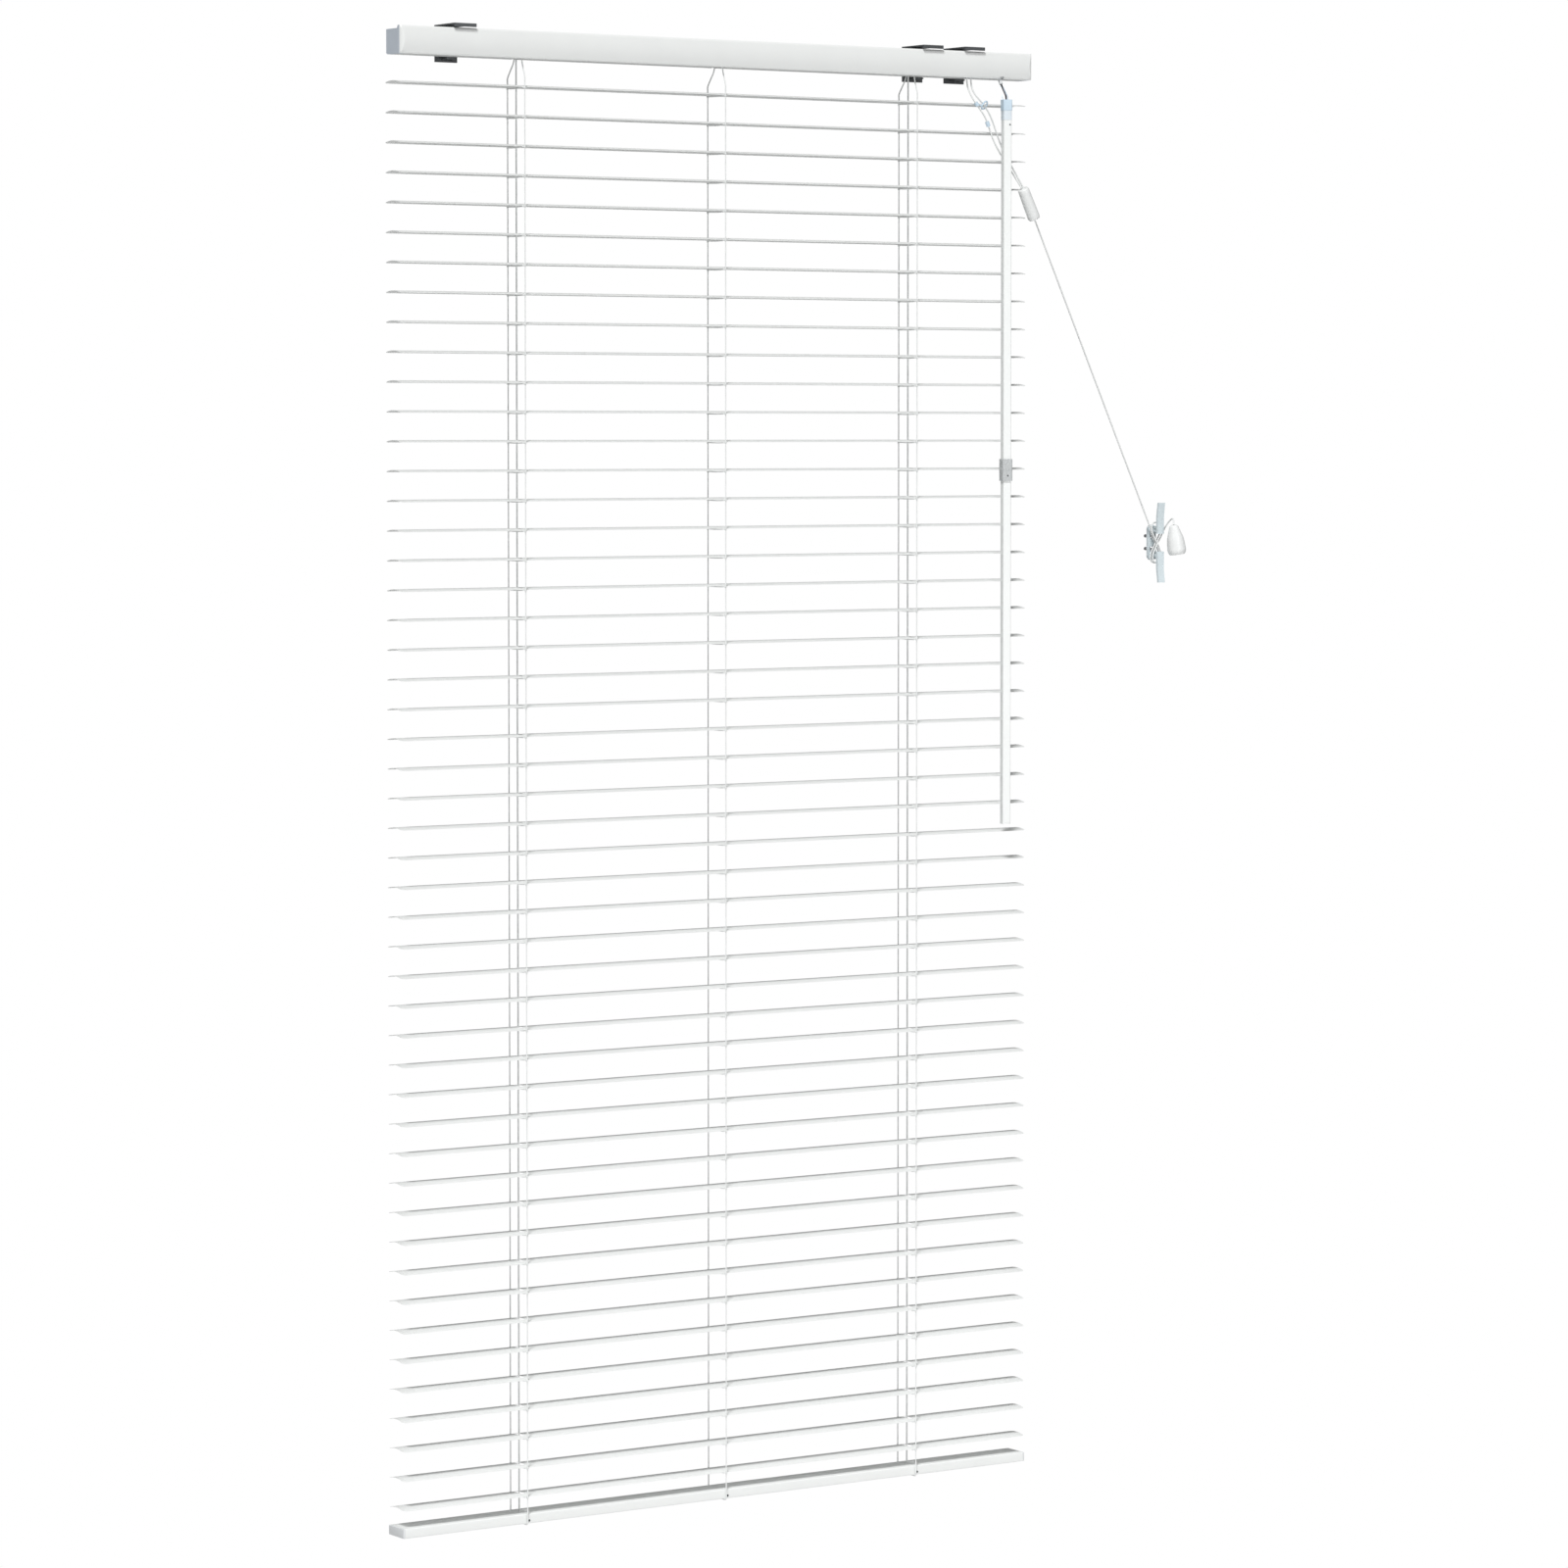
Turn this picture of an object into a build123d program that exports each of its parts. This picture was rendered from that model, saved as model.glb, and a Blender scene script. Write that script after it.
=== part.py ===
from build123d import *
import math
import os

# Venetian blind, 25 mm slats. Millimetres, +Z up, +X to the right, +Y towards the wall.
# Origin: on the wall plane, midway between the screw holes of the two outer brackets.

# ---- slats
SLAT_COUNT = 49
SLAT_LENGTH = 636.0
SLAT_WIDTH = 25.0
SLAT_THICK = 0.22
SLAT_CROWN = 1.8
SLAT_PITCH = 24.6
SLAT_Y = -15.5            # crown line of every slat, the line it tilts about
SLAT_1_Z = -34.5
SLOT_LENGTH = 14.0        # across the slat, for the lift cord
SLOT_WIDTH = 4.5

# ---- headrail
RAIL_X0, RAIL_X1 = -314.0, 316.5
CAP_LENGTH = 5.0
RAIL_FRONT, RAIL_BACK = -32.5, -8.5
RAIL_TOP, RAIL_STEP, RAIL_BOTTOM = 10.0, 7.6, -13.0
RAIL_WALL = 0.6

# ---- brackets
BRACKET_X = (-258.0, 213.5, 258.0)
BRACKET_WIDTH = 21.0
BRACKET_THICK = 1.5
BRACKET_TOP = 13.6
BRACKET_BOTTOM = -17.0
SCREW_HOLE_R = 2.25

# ---- ladders, lift cords and tilt rod
LADDER_X = (-199.0, 0.0, 199.0)
LIFT_X = (-199.0, 199.0)
LADDER_R = 0.55
LADDER_HALF = 14.0        # front and back cords from the slats' crown line
CORD_R = 0.7
ROD_Y, ROD_Z = -18.5, -2.0
ROD_FLATS = 5.0
DRUM_R = 5.4
HUB_R = 3.6
FIT = 0.05                # running clearance, radial
TILTER_X = 288.5

# ---- bottom rail
BRAIL_TOP = -1232.0
BRAIL_HEIGHT = 8.2
BRAIL_WALL = 0.7

# ---- tilt wand
WAND_X, WAND_Y = 288.5, -38.0
WAND_SIDE = 7.4
WAND_TURN = -14.0
WAND_TOP, WAND_CAP_BOTTOM, WAND_BOTTOM = -31.6, -41.0, -668.6

# ---- cleat
CLEAT_X, CLEAT_Z = 477.4, -422.8
CLEAT_SCREW_PITCH = 11.5

os.makedirs("parts", exist_ok=True)


def save(builder, name):
    builder.part.label = name
    export_step(builder.part, f"parts/{name}.step")
    print(name, "solids", len(builder.part.solids()), "mm3", round(builder.part.volume, 1))


def save_group(name, *builders):
    """Several solids of one node, kept apart where they touch."""
    solids = [s for b in builders for s in b.part.solids()]
    group = Compound(solids, label=name)
    export_step(group, f"parts/{name}.step")
    print(name, "solids", len(solids), "mm3", round(sum(s.volume for s in solids), 1))


def print_radii(name, pts, radii):
    print(name, "radii", [round(r, 1) for r in radii])


def corner_radii(pts):
    """0.45 of the shorter run over the tangent of half the turn, for each corner."""
    v = [Vector(*p) for p in pts]
    out = []
    for a, b, c in zip(v, v[1:], v[2:]):
        turn = (b - a).get_angle(c - b)
        out.append(0.45 * min((b - a).length, (c - b).length) / math.tan(math.radians(turn / 2)))
    return out


# =====================================================================  slats
slat_radius = (SLAT_WIDTH ** 2 / 4 + SLAT_CROWN ** 2) / (2 * SLAT_CROWN)
for i in range(SLAT_COUNT):
    z = SLAT_1_Z - i * SLAT_PITCH
    half = SLAT_WIDTH / 2
    with BuildPart() as slat:
        with BuildSketch(Plane.YZ.offset(-SLAT_LENGTH / 2)):
            with BuildLine():
                ThreePointArc((SLAT_Y - half, z - SLAT_CROWN), (SLAT_Y, z), (SLAT_Y + half, z - SLAT_CROWN))
                Line((SLAT_Y + half, z - SLAT_CROWN), (SLAT_Y + half, z - SLAT_CROWN - SLAT_THICK))
                ThreePointArc((SLAT_Y + half, z - SLAT_CROWN - SLAT_THICK), (SLAT_Y, z - SLAT_THICK), (SLAT_Y - half, z - SLAT_CROWN - SLAT_THICK))
                Line((SLAT_Y - half, z - SLAT_CROWN - SLAT_THICK), (SLAT_Y - half, z - SLAT_CROWN))
            make_face()
        extrude(amount=SLAT_LENGTH)
        with BuildSketch(Plane.XY.offset(z - 4)):
            with Locations((0, SLAT_Y)):
                RectangleRounded(SLAT_LENGTH, SLAT_WIDTH, 3.0)
        extrude(amount=6, mode=Mode.INTERSECT)
        with BuildSketch(Plane.XY.offset(z - 4)):
            with Locations(*[(x, SLAT_Y) for x in LIFT_X]):
                SlotOverall(SLOT_LENGTH, SLOT_WIDTH, rotation=90)
        extrude(amount=6, mode=Mode.SUBTRACT)
    slat.part.label = f"slat_{i + 1:02d}"
    export_step(slat.part, f"parts/slat_{i + 1:02d}.step")
print("slat volume", round(slat.part.volume, 1))

# =====================================================================  headrail
with BuildPart() as headrail:
    with BuildSketch(Plane.YZ.offset(RAIL_X0)):
        with BuildLine():
            Polyline((-29.9, RAIL_BOTTOM), (-9.7, RAIL_BOTTOM), (RAIL_BACK, -11.8), (RAIL_BACK, RAIL_STEP), (-19, RAIL_STEP), (-19, RAIL_TOP), (-30.0, RAIL_TOP), (-31.4, 8.6))
            ThreePointArc((-31.4, 8.6), (RAIL_FRONT, -2.0), (-31.2, -11.8))
            Line((-31.2, -11.8), (-29.9, RAIL_BOTTOM))
        make_face()
        offset(amount=-RAIL_WALL, mode=Mode.SUBTRACT)
    extrude(amount=RAIL_X1 - RAIL_X0)
    # open top between the two rolled lips
    with BuildSketch(Plane.XY.offset(3)):
        with Locations(((RAIL_X0 + RAIL_X1) / 2, -19.0)):
            Rectangle(RAIL_X1 - RAIL_X0 + 2, 15.0)
    extrude(amount=12, mode=Mode.SUBTRACT)
    # exits for ladders and lift cords, pull cords, tilter stem
    with BuildSketch(Plane.XY.offset(RAIL_BOTTOM - 2)):
        with Locations(*[(x, -18.0) for x in LADDER_X]):
            SlotOverall(18.0, 5.0, rotation=90)
        with Locations((256.5, -26.0)):
            Rectangle(11, 7)
        with Locations((TILTER_X, -28.0)):
            SlotOverall(8.0, 6.0, rotation=90)
    extrude(amount=4, mode=Mode.SUBTRACT)
save(headrail, "headrail")

stem_plane = Plane(origin=(TILTER_X, -27.6, -13.4), x_dir=(1, 0, 0), z_dir=(0, -0.5, -0.866))

# =====================================================================  headrail fittings: end caps, cradles, cord lock, tilter, wand hook
with BuildPart() as headrail_fittings:
    # end caps: a plate with a taller front lip, rounded at its vertical front edge, and a plug that fits in the channel
    for x0, side in ((RAIL_X0, -1), (RAIL_X1, 1)):
        with BuildSketch(Plane.YZ.offset(x0)):
            with BuildLine():
                Polyline((-29.9, RAIL_BOTTOM), (-9.7, RAIL_BOTTOM), (RAIL_BACK, -11.8), (RAIL_BACK, RAIL_STEP), (-26.4, RAIL_STEP), (-27.4, RAIL_TOP), (-30.0, RAIL_TOP), (-31.4, 8.6))
                ThreePointArc((-31.4, 8.6), (RAIL_FRONT, -2.0), (-31.2, -11.8))
                Line((-31.2, -11.8), (-29.9, RAIL_BOTTOM))
            make_face()
        extrude(amount=side * CAP_LENGTH)
        # rounded vertical front edge
        with BuildSketch(Plane.XY.offset(RAIL_BOTTOM - 1)):
            xe = x0 + side * CAP_LENGTH
            with BuildLine():
                Polyline((xe, RAIL_FRONT - 1), (xe - side * 4.5, RAIL_FRONT - 1), (xe - side * 4.5, RAIL_FRONT))
                TangentArc((xe - side * 4.5, RAIL_FRONT), (xe, RAIL_FRONT + 4.5), tangent=(side, 0))
                Line((xe, RAIL_FRONT + 4.5), (xe, RAIL_FRONT - 1))
            make_face()
        extrude(amount=25, mode=Mode.SUBTRACT)
        # plug inside the channel, hollow towards the middle
        with BuildSketch(Plane.YZ.offset(x0)):
            with Locations((-20.3, -3.0)):
                RectangleRounded(20.6, 17.6, 1.0)
        extrude(amount=-side * 8)
        with BuildSketch(Plane.YZ.offset(x0 - side * 8)):
            with Locations((-20.3, -3.0)):
                RectangleRounded(17.8, 14.8, 0.6)
        extrude(amount=side * 7, mode=Mode.SUBTRACT)
    # cradles: floor with two uprights that carry the drum's hubs
    for x in LADDER_X:
        for dx in (-10.0, 8.5):
            with BuildSketch(Plane.YZ.offset(x + dx)):
                with BuildLine():
                    Polyline((-29.6, -12.2), (-10.2, -12.2), (-10.2, 1.0), (-14.0, 4.4), (-23.0, 4.4), (-29.6, -3.0), close=True)
                make_face()
                with Locations((ROD_Y, ROD_Z)):
                    Circle(HUB_R + FIT, mode=Mode.SUBTRACT)
                with Locations((-15.2, -9.5)):
                    Rectangle(6.6, 3.0, mode=Mode.SUBTRACT)
            extrude(amount=1.5)
        with BuildSketch(Plane.XY.offset(-12.2)):
            with Locations((x, -19.9)):
                Rectangle(20, 19.4)
            with Locations((x, -18.0)):
                SlotOverall(17.0, 4.0, rotation=90, mode=Mode.SUBTRACT)
        extrude(amount=1.0)
    # cord lock: housing with a cord channel, and its roller
    with BuildSketch(Plane.XY.offset(-12.2)):
        with Locations((253.0, -20.0)):
            Rectangle(24, 19.0)
    extrude(amount=6.6)
    with BuildSketch(Plane.YZ.offset(244.0)):
        with Locations((-15.2, -9.3)):
            Rectangle(6.0, 3.4)
    extrude(amount=12, mode=Mode.SUBTRACT)
    with BuildSketch(Plane.XY.offset(-11.0)):
        with Locations((254.0, -22.0)):
            Rectangle(12, 14.0)
    extrude(amount=4.2, mode=Mode.SUBTRACT)
    with BuildSketch(Plane.XY.offset(-13.6)):
        with Locations((256.5, -26.0)):
            Rectangle(10, 6)
    extrude(amount=2.0)
    with BuildSketch(Plane.YZ.offset(250.4)):
        with Locations((-22.0, -8.9)):
            Circle(1.8)
    extrude(amount=7)
    # tilter: housing round the gear, bores for the gear's hubs, stem boss
    with BuildSketch(Plane.XY.offset(-12.2)):
        with Locations((TILTER_X, -20.2)):
            Rectangle(23, 19.0)
    extrude(amount=18.6)
    with BuildSketch(Plane.YZ.offset(TILTER_X - 10.0)):
        with Locations((-20.0, -2.4)):
            Rectangle(17.0, 15.6)
    extrude(amount=20, mode=Mode.SUBTRACT)
    with BuildSketch(Plane.YZ.offset(TILTER_X - 12)):
        with Locations((ROD_Y, ROD_Z)):
            Circle(HUB_R + FIT)
    extrude(amount=24, mode=Mode.SUBTRACT)
    # slanted bore for the worm's stem
    with BuildSketch(stem_plane.offset(-6.0)):
        Circle(1.7)
    extrude(amount=12, mode=Mode.SUBTRACT)
# stem: slants down and forwards out of the channel, with the worm on its inner end
with BuildPart() as tilter_stem:
    with BuildSketch(stem_plane.offset(-2.6)):
        Circle(1.6)
    extrude(amount=7.4)
    with BuildSketch(stem_plane.offset(-5.2)):
        Circle(2.2)
    extrude(amount=3.2)
with BuildPart() as wand_hook:
    # hook: bent wire from the stem's eye down into the wand's cap
    with BuildLine() as hook_line:
        FilletPolyline((TILTER_X, -30.2, -17.9), (TILTER_X, -33.2, -22.6), (TILTER_X, -37.2, -28.2), (WAND_X, WAND_Y, -33.6), radius=[3.0, 3.0])
    with BuildSketch(Plane(origin=hook_line.line @ 0, z_dir=hook_line.line % 0)):
        Circle(0.75)
    sweep(path=hook_line.line)
save_group("headrail_fittings", headrail_fittings, tilter_stem, wand_hook)

# =====================================================================  mounting brackets
with BuildPart() as mounting_brackets:
    for x in BRACKET_X:
        x0 = x - BRACKET_WIDTH / 2
        # side profile in one bent sheet: back plate, top plate, front hook
        with BuildSketch(Plane.YZ.offset(x0)):
            with BuildLine():
                Polyline((0, BRACKET_BOTTOM), (0, BRACKET_TOP), (-33.6, BRACKET_TOP), (-33.6, BRACKET_TOP - 2.9), (-32.1, BRACKET_TOP - 2.9), (-32.1, BRACKET_TOP - 1.3), (-BRACKET_THICK, BRACKET_TOP - 1.3), (-BRACKET_THICK, BRACKET_BOTTOM), close=True)
            make_face()
        extrude(amount=BRACKET_WIDTH)
        # tongue under the channel's rear edge and catch above its rear lip
        with BuildSketch(Plane.XY.offset(-14.6)):
            with Locations((x, -6.2)):
                Rectangle(10.0, 9.5)
        extrude(amount=1.2)
        with BuildSketch(Plane.XY.offset(8.0)):
            with Locations((x, -6.5)):
                Rectangle(12.0, 10.0)
        extrude(amount=1.2)
        # screw holes, wall and ceiling
        with BuildSketch(Plane.XZ.offset(-1)):
            with Locations((x, 0)):
                Circle(SCREW_HOLE_R)
        extrude(amount=4, mode=Mode.SUBTRACT)
        with BuildSketch(Plane.XY.offset(BRACKET_TOP - 3)):
            with Locations((x, -16.0)):
                Circle(SCREW_HOLE_R)
        extrude(amount=5, mode=Mode.SUBTRACT)
save(mounting_brackets, "mounting_brackets")

# =====================================================================  tilt rod with its drums and gear
with BuildPart() as tilt_rod:
    with BuildSketch(Plane.YZ.offset(-225)):
        with Locations((ROD_Y, ROD_Z)):
            RegularPolygon(ROD_FLATS / 2, 6, major_radius=False)
    extrude(amount=225 + 304)
with BuildPart() as drum_blank:
    for x in LADDER_X:
        with BuildSketch(Plane.YZ.offset(x - 7)):
            with Locations((ROD_Y, ROD_Z)):
                Circle(DRUM_R)
        extrude(amount=14)
        with BuildSketch(Plane.YZ.offset(x - 11.0)):
            with Locations((ROD_Y, ROD_Z)):
                Circle(HUB_R)
        extrude(amount=22.0)
    with BuildSketch(Plane.YZ.offset(TILTER_X - 12.5)):
        with Locations((ROD_Y, ROD_Z)):
            Circle(HUB_R)
    extrude(amount=25)
    with BuildSketch(Plane.YZ.offset(TILTER_X - 3)):
        with Locations((ROD_Y, ROD_Z)):
            Circle(6.6)
            for k in range(12):
                a = math.radians(30 * k)
                with Locations((ROD_Y + 6.9 * math.cos(a), ROD_Z + 6.9 * math.sin(a))):
                    Circle(0.8, mode=Mode.SUBTRACT)
    extrude(amount=6)
    with BuildSketch(Plane.YZ.offset(-226)):
        with Locations((ROD_Y, ROD_Z)):
            RegularPolygon(ROD_FLATS / 2 + FIT, 6, major_radius=False)
    extrude(amount=226 + 306, mode=Mode.SUBTRACT)
save_group("tilt_rod", tilt_rod, drum_blank)

# =====================================================================  tilt wand: cap, two tubes, sleeve, end plug
wand_plane = Plane(origin=(WAND_X, WAND_Y, 0), x_dir=(math.cos(math.radians(WAND_TURN)), math.sin(math.radians(WAND_TURN)), 0), z_dir=(0, 0, 1))
SLEEVE_TOP, SLEEVE_BOTTOM = -346.8, -366.0
with BuildPart() as tilt_wand:
    # cap, with the blind hole that the hook drops into, and its insert
    with BuildSketch(wand_plane.offset(WAND_CAP_BOTTOM)):
        RectangleRounded(8.2, 8.2, 1.0)
    extrude(amount=WAND_TOP - WAND_CAP_BOTTOM)
    with BuildSketch(wand_plane.offset(WAND_CAP_BOTTOM - 12)):
        RectangleRounded(5.6, 5.6, 0.5)
    extrude(amount=12)
    with BuildSketch(wand_plane.offset(WAND_TOP - 4.5)):
        Circle(1.9)
    extrude(amount=5, mode=Mode.SUBTRACT)
with BuildPart() as wand_tubes:
    for z_top, z_low in ((WAND_CAP_BOTTOM - 0.05, -356.1), (-356.7, WAND_BOTTOM + 1.2)):
        with BuildSketch(wand_plane.offset(z_low)):
            RectangleRounded(WAND_SIDE, WAND_SIDE, 0.9)
            RectangleRounded(WAND_SIDE - 1.6, WAND_SIDE - 1.6, 0.5, mode=Mode.SUBTRACT)
        extrude(amount=z_top - z_low)
with BuildPart() as wand_sleeve:
    with BuildSketch(wand_plane.offset(SLEEVE_BOTTOM)):
        RectangleRounded(9.4, 9.4, 1.2)
        RectangleRounded(WAND_SIDE + 0.1, WAND_SIDE + 0.1, 0.9, mode=Mode.SUBTRACT)
    extrude(amount=SLEEVE_TOP - SLEEVE_BOTTOM)
with BuildPart() as wand_plug:
    with BuildSketch(wand_plane.offset(WAND_BOTTOM)):
        RectangleRounded(WAND_SIDE, WAND_SIDE, 0.9)
    extrude(amount=1.15)
    with BuildSketch(wand_plane.offset(WAND_BOTTOM + 1.15)):
        RectangleRounded(5.6, 5.6, 0.5)
    extrude(amount=5)
save_group("tilt_wand", tilt_wand, wand_tubes, wand_sleeve, wand_plug)

# =====================================================================  bottom rail, end caps and ladder plugs
brail_mid = BRAIL_TOP - BRAIL_HEIGHT / 2
BRAIL_HALF = SLAT_LENGTH / 2
with BuildPart() as bottom_rail:
    with BuildSketch(Plane.YZ.offset(-BRAIL_HALF + 2)):
        with Locations((SLAT_Y, brail_mid)):
            RectangleRounded(SLAT_WIDTH, BRAIL_HEIGHT, 1.4)
            RectangleRounded(SLAT_WIDTH - 2 * BRAIL_WALL, BRAIL_HEIGHT - 2 * BRAIL_WALL, 0.8, mode=Mode.SUBTRACT)
    extrude(amount=2 * BRAIL_HALF - 4)
    with BuildSketch(Plane.XY.offset(BRAIL_TOP - 2)):
        with Locations(*[(x, SLAT_Y) for x in LIFT_X]):
            SlotOverall(12.0, SLOT_WIDTH, rotation=90)
    extrude(amount=3, mode=Mode.SUBTRACT)
    with BuildSketch(Plane.XY.offset(BRAIL_TOP - BRAIL_HEIGHT - 1)):
        with Locations(*[(x, SLAT_Y) for x in LADDER_X]):
            SlotOverall(9.0, 7.0, rotation=90)
    extrude(amount=3, mode=Mode.SUBTRACT)
with BuildPart() as brail_caps:
    for side in (-1, 1):
        with BuildSketch(Plane.YZ.offset(side * (BRAIL_HALF - 2))):
            with Locations((SLAT_Y, brail_mid)):
                RectangleRounded(SLAT_WIDTH, BRAIL_HEIGHT, 1.4)
        extrude(amount=side * 2)
        with BuildSketch(Plane.YZ.offset(side * (BRAIL_HALF - 2))):
            with Locations((SLAT_Y, brail_mid)):
                RectangleRounded(SLAT_WIDTH - 2 * BRAIL_WALL - 0.1, BRAIL_HEIGHT - 2 * BRAIL_WALL - 0.1, 0.7)
        extrude(amount=-side * 8)
with BuildPart() as ladder_plugs:
    for x in LADDER_X:
        with BuildSketch(Plane.XY.offset(BRAIL_TOP - BRAIL_HEIGHT - 1.0)):
            with Locations((x, SLAT_Y)):
                SlotOverall(15.0, 10.0, rotation=90)
        extrude(amount=1.0)
        with BuildSketch(Plane.XY.offset(BRAIL_TOP - BRAIL_HEIGHT)):
            with Locations((x, SLAT_Y)):
                SlotOverall(8.8, 6.8, rotation=90)
        extrude(amount=3.2)
save_group("bottom_rail", bottom_rail, brail_caps, ladder_plugs)

# =====================================================================  ladder cords and the held lift cords
LADDER_END_Z = BRAIL_TOP + 8.5
with BuildPart() as ladder_and_lift_cords:
    for x in LADDER_X:
        for y_low, y_top in ((SLAT_Y - LADDER_HALF, -24.75), (SLAT_Y + LADDER_HALF, -12.05)):
            with BuildLine() as run:
                FilletPolyline((x, y_low, LADDER_END_Z), (x, y_low, -28.0), (x, y_top, -14.6), (x, y_top, -2.0), radius=[8.0, 8.0])
            with BuildSketch(Plane(origin=run.line @ 0, z_dir=run.line % 0)):
                Circle(LADDER_R)
            sweep(path=run.line)
    # lift cords: up through the slats, round the cradle's edge, along the rail to the cord lock
    for x, y_in in ((LIFT_X[0], -13.7), (LIFT_X[1], -17.1)):
        with BuildLine() as run:
            FilletPolyline((x, SLAT_Y, BRAIL_TOP - 1.0), (x, SLAT_Y, -9.3), (x + 22.0, y_in, -9.3), (241.0, y_in, -9.3), radius=[2.4, 12.0])
        with BuildSketch(Plane(origin=run.line @ 0, z_dir=run.line % 0)):
            Circle(CORD_R)
        sweep(path=run.line)
save(ladder_and_lift_cords, "ladder_and_lift_cords")

# =====================================================================  free pull cords
COND_TOP, COND_LOW = (309.0, -34.8, -108.9), (322.2, -33.8, -135.2)
pull_a = [(258.4, -26.4, -13.6), (258.4, -26.4, -18.6), (259.8, -28.3, -25.6), (263.4, -30.7, -31.2), (269.3, -31.6, -36.6), (276.6, -31.7, -46.9), (282.3, -31.2, -59.7), (288.3, -30.8, -72.5), (296.1, -30.9, -85.0), (303.6, -32.7, -97.2), (309.9, -34.6, -108.6)]
pull_b = [(254.8, -25.4, -13.6), (254.8, -25.4, -18.6), (255.9, -27.6, -25.5), (258.6, -30.0, -32.4), (264.4, -31.1, -39.6), (271.1, -31.3, -47.8), (275.5, -30.9, -58.2), (280.8, -30.8, -69.4), (288.4, -30.8, -80.6), (297.7, -31.0, -92.0), (302.9, -32.9, -100.6), (308.2, -35.0, -109.2)]
single = [(322.1, -33.8, -134.9), (472.2, -10.0, -409.0)]
tail = [(483.9, -10.5, -411.0), (487.2, -12.6, -405.6), (488.2, -18.0, -401.0), (486.4, -23.2, -401.6), (484.6, -25.3, -406.6)]
with BuildPart() as pull_cord:
    for name, pts in (("pull cord a", pull_a), ("pull cord b", pull_b), ("tail", tail)):
        radii = corner_radii(pts)
        print_radii(name, pts, radii)
        with BuildLine() as run:
            FilletPolyline(*pts, radius=radii)
        with BuildSketch(Plane(origin=run.line @ 0, z_dir=run.line % 0)):
            Circle(CORD_R)
        sweep(path=run.line)
        print(name, "length", round(sum(e.length for e in run.line.edges()), 1))
    with BuildLine() as run:
        Line(*single)
    with BuildSketch(Plane(origin=run.line @ 0, z_dir=run.line % 0)):
        Circle(CORD_R)
    sweep(path=run.line)
    print("single cord length", round(sum(e.length for e in run.line.edges()), 1))
save(pull_cord, "pull_cord")

# the cord wound round the cleat's two posts: one closed solid of its outer shape
POST_DZ = 12.5
with BuildPart() as pull_cord_winding:
    with BuildSketch(Plane.XZ.offset(5.6)):
        with Locations((CLEAT_X, CLEAT_Z)):
            SlotOverall(39.0, 13.0, rotation=90)
        with Locations((CLEAT_X, CLEAT_Z + POST_DZ), (CLEAT_X, CLEAT_Z - POST_DZ)):
            Rectangle(6.4, 5.4, mode=Mode.SUBTRACT)
    extrude(amount=7.4)
save(pull_cord_winding, "pull_cord_winding")

# =====================================================================  pieces on the pull cord: joiner, bead, condenser, tassel
# clear joiner: a ring that cord a runs through and a bead on cord b, and a second bead below
ring_c = Vector(269.3, -31.7, -36.7)
bead_c = Vector(261.5, -30.6, -36.0)
ring_n = Vector(0.36, -0.80, -0.48).normalized()
inwards = bead_c - ring_c
inwards = (inwards - ring_n * inwards.dot(ring_n)).normalized()
ring_near = ring_c + inwards * 3.7
link = (ring_near - bead_c).normalized()
with BuildPart() as cord_joiner:
    with Locations(Plane(origin=ring_c, z_dir=(0.36, -0.80, -0.48))):
        Torus(3.7, 0.75)
    with BuildSketch(Plane(origin=bead_c + link * 1.0, z_dir=link)):
        Circle(0.7)
    extrude(amount=(ring_near - bead_c).length - 1.0)
    bead_pl = Plane(origin=bead_c, z_dir=(5.8, -1.1, -7.2))
    with BuildSketch(bead_pl.offset(-1.6)):
        Circle(1.9)
    extrude(amount=3.2)
    with BuildSketch(bead_pl.offset(-3)):
        Circle(CORD_R + 0.12)
    extrude(amount=6, mode=Mode.SUBTRACT)
with BuildPart() as cord_bead_lower:
    low_pl = Plane(origin=(273.3, -31.1, -53.0), z_dir=(4.4, 0.4, -10.4))
    with BuildSketch(low_pl.offset(-2.2)):
        Circle(1.8)
        Circle(CORD_R + 0.12, mode=Mode.SUBTRACT)
    extrude(amount=4.4)
with BuildPart() as condenser:
    c_top, c_low = Vector(*COND_TOP), Vector(*COND_LOW)
    c_len = (c_low - c_top).length
    with BuildSketch(Plane(origin=COND_TOP, x_dir=(0, 1, 0), z_dir=c_low - c_top)):
        Circle(4.3)
    with BuildSketch(Plane(origin=COND_TOP, x_dir=(0, 1, 0), z_dir=c_low - c_top).offset(1.2)):
        Circle(5.0)
    with BuildSketch(Plane(origin=COND_TOP, x_dir=(0, 1, 0), z_dir=c_low - c_top).offset(c_len - 1.5)):
        Circle(5.5)
    with BuildSketch(Plane(origin=COND_TOP, x_dir=(0, 1, 0), z_dir=c_low - c_top).offset(c_len)):
        Circle(4.8)
    loft(ruled=True)
with BuildPart() as tassel:
    t_axis = Plane(origin=(484.6, -25.3, -406.9), x_dir=(1, 0, 0), z_dir=(0.16, 0.0, -0.987))
    with BuildSketch(Plane(origin=t_axis.origin, x_dir=t_axis.x_dir, z_dir=-t_axis.y_dir)):
        with BuildLine():
            Line((0, 0), (2.2, 0))
            Spline((2.2, 0), (4.9, 4.0), (7.3, 11.5), (8.3, 20.5), (7.9, 25.0), tangents=((1, 0.25), (-0.35, 1)))
            Line((7.9, 25.0), (6.9, 26.6))
            Line((6.9, 26.6), (0, 26.6))
            Line((0, 26.6), (0, 0))
        make_face()
    revolve(axis=Axis(t_axis.origin, t_axis.z_dir))
save_group("cord_pulls", cord_joiner, cord_bead_lower, condenser, tassel)

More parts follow.
